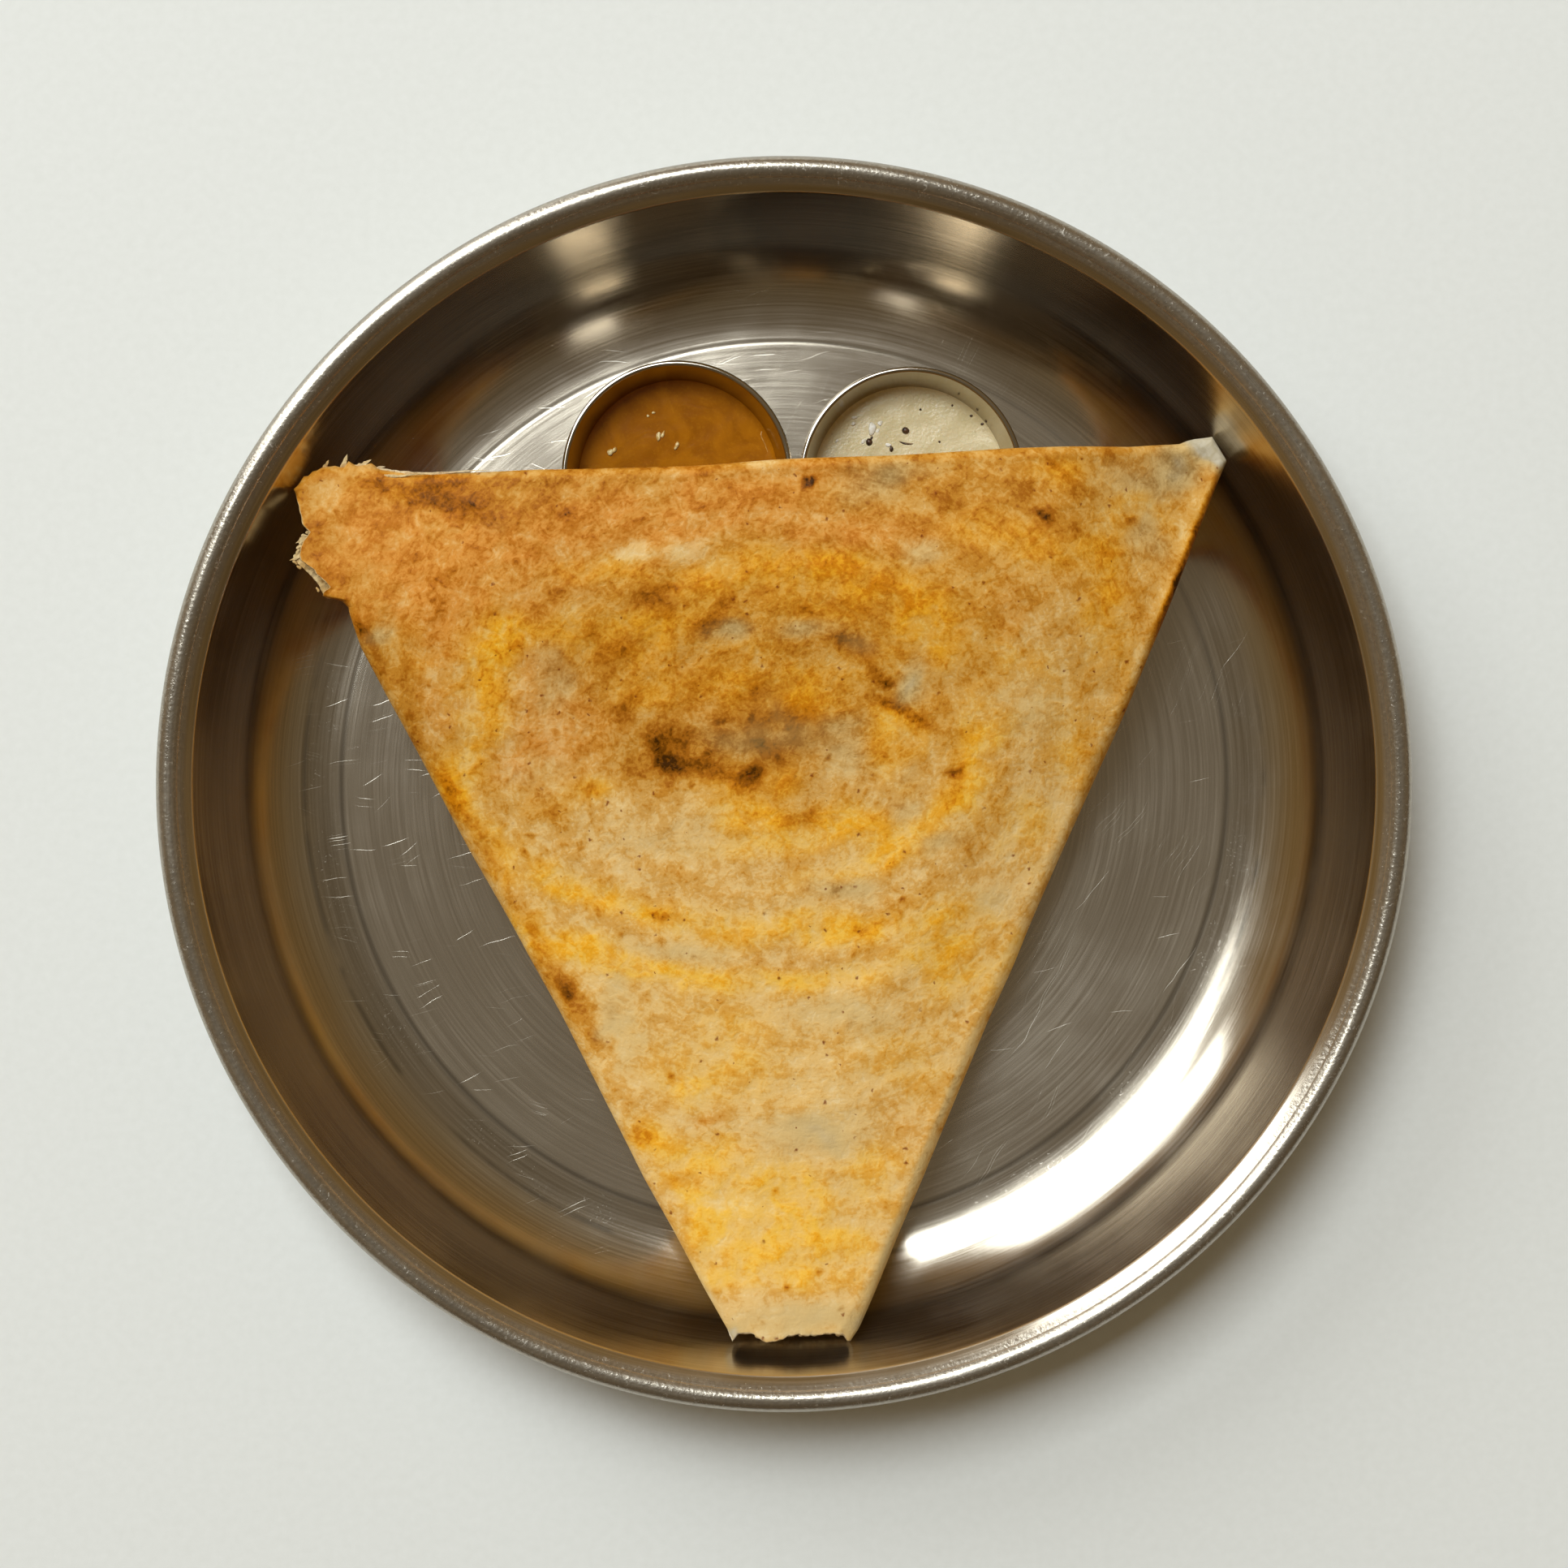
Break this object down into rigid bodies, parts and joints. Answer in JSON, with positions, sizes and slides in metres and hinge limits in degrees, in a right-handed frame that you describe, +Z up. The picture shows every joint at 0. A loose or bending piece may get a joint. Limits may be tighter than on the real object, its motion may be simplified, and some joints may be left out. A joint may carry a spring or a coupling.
{
  "type": "keema dosa on a steel plate with two bowls",
  "caption": "Folded keema dosa lying across a round, deep steel plate and over the rims of a bowl of sambar and a bowl of coconut chutney.",
  "frame": {"origin": "centre of the plate's underside, on the surface it stands on", "axes": "+Z up out of the plate; +Y from the dosa's open tip to its top fold, where the bowls are; +X to the right, towards the bowl of chutney"},
  "size_m": [0.305, 0.305, 0.0334],
  "materials": {
    "steel": "worn stainless steel, brushed in rings, with fine scratches",
    "bowl_steel": "polished stainless steel",
    "sambar": "thin orange-brown lentil soup, glossy and wet",
    "chutney": "cream-coloured coconut sauce with dark seeds, satin",
    "dosa": "griddled crepe, golden with brown and pale patches, dry"
  },
  "bodies": {
    "root": {"plate": "steel", "bowl_left": "bowl_steel", "bowl_right": "bowl_steel", "sambar": "sambar", "chutney": "chutney", "dosa": "dosa"}
  },
  "joints": []
}
